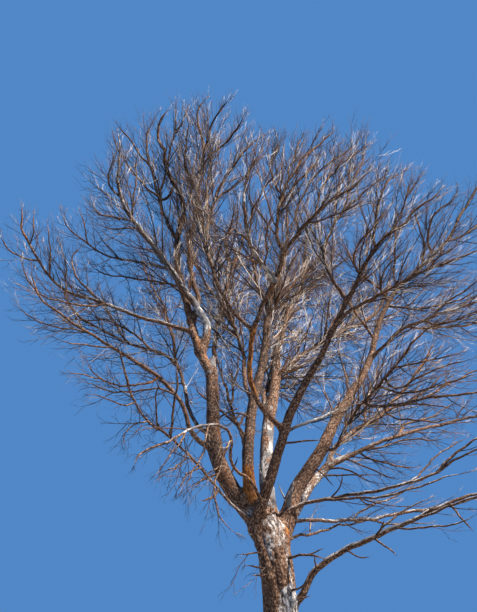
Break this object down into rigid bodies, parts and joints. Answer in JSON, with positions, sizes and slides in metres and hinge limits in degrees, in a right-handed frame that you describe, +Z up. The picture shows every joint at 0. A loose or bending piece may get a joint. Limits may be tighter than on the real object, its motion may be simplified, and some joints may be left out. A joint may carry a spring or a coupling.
{
  "type": "bare dead conifer tree",
  "caption": "Whole bare dead conifer with a flared leaning trunk that forks into steep spreading limbs, and an open vase-shaped crown of fine upswept twigs.",
  "frame": {"origin": "middle of the flat cut under the trunk, at ground level", "axes": "+Z up; the picture was taken from the -Y side, with +X to its right"},
  "size_m": [12.1891, 10.0469, 16.7362],
  "materials": {
    "bark": "rough weathered bark",
    "bleached_wood": "bare weathered wood",
    "twigs": "matte, open"
  },
  "bodies": {
    "root": {"back_centre": "bark", "back_centre_top": "twigs", "back_left": "bark", "back_left_top": "twigs", "back_low": "bark", "back_low_top": "twigs", "back_right_arm": "bleached_wood", "back_right_fan": "twigs", "back_right_limb": "bleached_wood", "back_right_out": "bark", "back_right_top": "twigs", "back_right_up": "bark", "back_right_upper_fan": "twigs", "bleached_stem": "bleached_wood", "centre_left_arm": "bark", "centre_left_top": "twigs", "centre_limb": "bark", "centre_top": "twigs", "front_centre": "bark", "front_centre_top": "twigs", "front_curved": "bark", "front_hanging": "twigs", "front_inner": "bark", "front_inner_top": "twigs", "front_left_low": "twigs", "front_limb": "bark", "front_limb_crown": "twigs", "front_limb_top": "bark", "front_lit_top": "twigs", "front_low_left": "bark", "front_right_fan": "twigs", "front_right_top": "twigs", "front_upper_left": "twigs", "left_arc": "twigs", "left_back_limb": "bark", "left_back_top": "twigs", "left_limb": "bark", "left_limb_top": "bark", "left_low": "twigs", "left_low_limb": "bark", "left_middle_stem": "bark", "left_middle_top": "twigs", "left_pale_stem": "bleached_wood", "left_pale_top": "twigs", "left_reach": "bark", "left_tip": "twigs", "left_top": "twigs", "right_back_low_arm": "bark", "right_back_low_fan": "twigs", "right_fan": "twigs", "right_limb": "bark", "right_limb_top": "bark", "right_low_arm": "bark", "right_low_fan": "twigs", "right_lower_fan": "twigs", "right_lowest_arm": "bark", "right_lowest_fan": "twigs", "right_middle_fan": "twigs", "right_top": "twigs", "trunk": "bark"}
  },
  "joints": []
}
